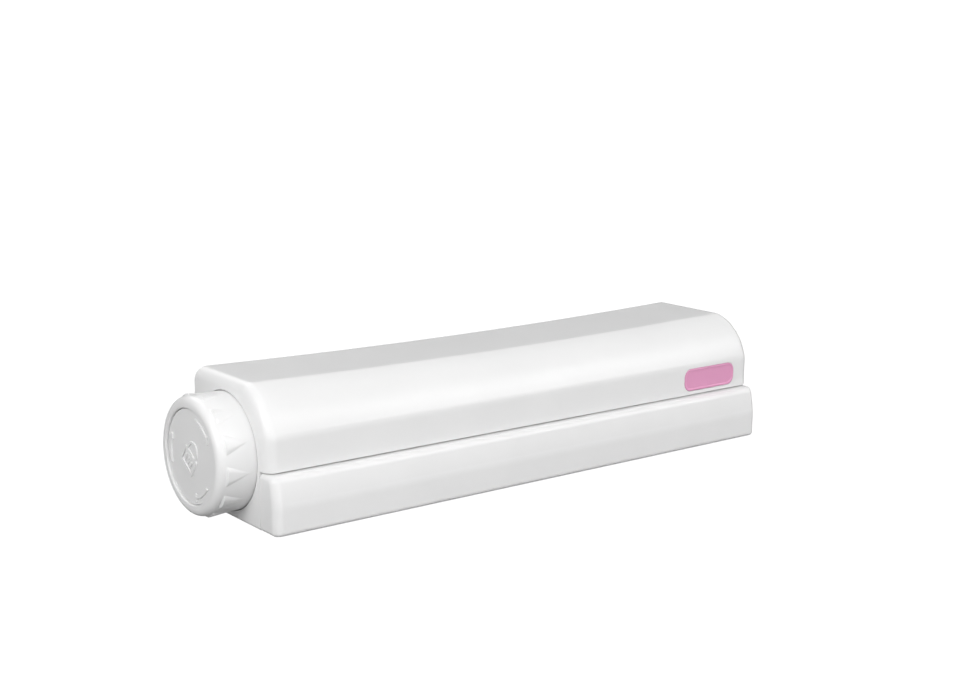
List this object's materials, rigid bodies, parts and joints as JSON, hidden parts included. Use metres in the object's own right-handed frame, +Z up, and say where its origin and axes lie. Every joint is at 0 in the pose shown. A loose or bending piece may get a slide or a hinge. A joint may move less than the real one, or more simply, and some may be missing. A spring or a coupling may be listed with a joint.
{
  "type": "retractable clothesline",
  "caption": "Wall-mounted retractable clothesline: long case with a spring-driven spool, a docking pull bar that carries the cords, and an end knob that locks and tightens them.",
  "frame": {"origin": "middle of the wall face, where the bracket meets the wall", "axes": "+X along the case from the knob end to the plain end, +Y into the wall, +Z up"},
  "size_m": [0.374, 0.0828, 0.0744],
  "materials": {
    "white_plastic": "glossy moulded white plastic",
    "pink_plastic": "glossy moulded pink plastic",
    "inner_plastic": "plain moulded grey plastic",
    "dark_plastic": "slippery black moulded plastic",
    "cord_plastic": "smooth white cord sheath",
    "steel": "zinc-plated steel",
    "spring_steel": "blued spring steel"
  },
  "bodies": {
    "case": {"wall_bracket": "steel", "rear_cover": "white_plastic", "front_shell": "white_plastic", "badge": "pink_plastic", "case_screws": "steel", "left_bush": "inner_plastic", "right_bush": "inner_plastic", "bearing_plate": "inner_plastic", "lock_ring": "inner_plastic", "spring_cup": "inner_plastic", "spring_cover": "inner_plastic", "power_spring": "spring_steel", "cord_guide_1": "dark_plastic", "cord_guide_2": "dark_plastic", "cord_guide_3": "dark_plastic", "cord_guide_4": "dark_plastic", "cord_lead_1": "cord_plastic", "cord_lead_2": "cord_plastic", "cord_lead_3": "cord_plastic", "cord_lead_4": "cord_plastic"},
    "spool": {"spool_shaft": "steel", "spool_1": "inner_plastic", "spool_2": "inner_plastic", "spool_3": "inner_plastic", "spool_4": "inner_plastic", "cord_winding_1": "cord_plastic", "cord_winding_2": "cord_plastic", "cord_winding_3": "cord_plastic", "cord_winding_4": "cord_plastic", "drive_hub": "inner_plastic", "drive_pin": "steel", "spring_arbor": "inner_plastic", "knob_spring": "spring_steel", "knob_washer": "steel", "knob_screw": "steel"},
    "knob": {"knob_clutch": "inner_plastic", "knob_cap": "white_plastic", "knob_disc": "white_plastic", "knob_cap_screws": "steel"},
    "pull_bar": {"bar_front": "white_plastic", "bar_frame": "white_plastic", "bar_screws": "steel", "cord_run_1": "cord_plastic", "cord_run_2": "cord_plastic", "cord_run_3": "cord_plastic", "cord_run_4": "cord_plastic", "cord_knot_1": "cord_plastic", "cord_knot_2": "cord_plastic", "cord_knot_3": "cord_plastic", "cord_knot_4": "cord_plastic"}
  },
  "joints": [
    {"name": "bar_pull", "type": "slide", "parent": "case", "child": "pull_bar", "axis": [0, -1, 0], "range_m": [0, 3.75], "deforming": ["cord_run_1", "cord_run_2", "cord_run_3", "cord_run_4"]},
    {"name": "spool_spin", "type": "hinge", "parent": "case", "child": "spool", "pos_m": [0, -0.0334, -0.0018], "axis": [1, 0, 0], "range_deg": [-11610, 0], "stiffness_Nm_per_rad": 0.00034, "springref_deg": 5729.58, "deforming": ["power_spring"]},
    {"name": "knob_push", "type": "slide", "parent": "spool", "child": "knob", "axis": [1, 0, 0], "range_m": [0, 0.004], "stiffness_N_per_m": 400, "springref_m": -0.004, "deforming": ["knob_spring"]}
  ],
  "couplings": [
    {"joint": "spool_spin", "follows": "bar_pull", "rad_per_m": -54.035}
  ]
}
